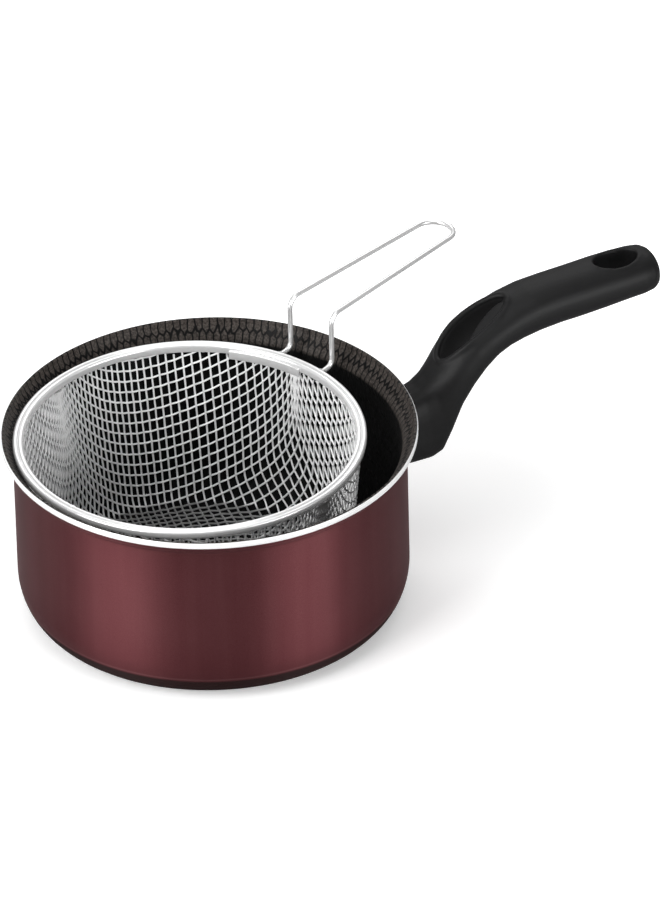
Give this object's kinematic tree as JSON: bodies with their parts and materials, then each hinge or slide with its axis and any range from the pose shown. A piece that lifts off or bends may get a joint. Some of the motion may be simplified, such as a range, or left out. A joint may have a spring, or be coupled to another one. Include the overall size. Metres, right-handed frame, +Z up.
{
  "type": "frying pan with strainer basket",
  "caption": "Deep frying pan with flared bare rim, moulded side handle and a lift-out wire mesh strainer basket on a bent wire handle.",
  "frame": {"origin": "centre of the flat base that the pan stands on", "axes": "+Z up, +X along the pan's moulded handle, away from the pan"},
  "size_m": [0.3725, 0.22, 0.1412],
  "materials": {
    "pan_shell": "pressed aluminium: wine-red metallic coat outside, black textured non-stick coat inside, bare lip",
    "bakelite": "fine satin black moulding",
    "cast_aluminium": "as cast",
    "zinc_steel": "zinc plated",
    "mesh_wire": "woven bright wire",
    "bright_steel": "polished stainless"
  },
  "bodies": {
    "pan": {"pan_body": "pan_shell", "pan_handle": "bakelite", "handle_lug": "cast_aluminium", "handle_washer": "zinc_steel", "handle_screw": "zinc_steel"},
    "basket": {"basket_mesh": "mesh_wire", "basket_rim": "bright_steel", "handle_plate": "bright_steel", "basket_handle": "bright_steel"}
  },
  "joints": [
    {"name": "basket_lift", "type": "slide", "parent": "pan", "child": "basket", "axis": [0, 0, 1], "range_m": [0, 0.15]}
  ]
}
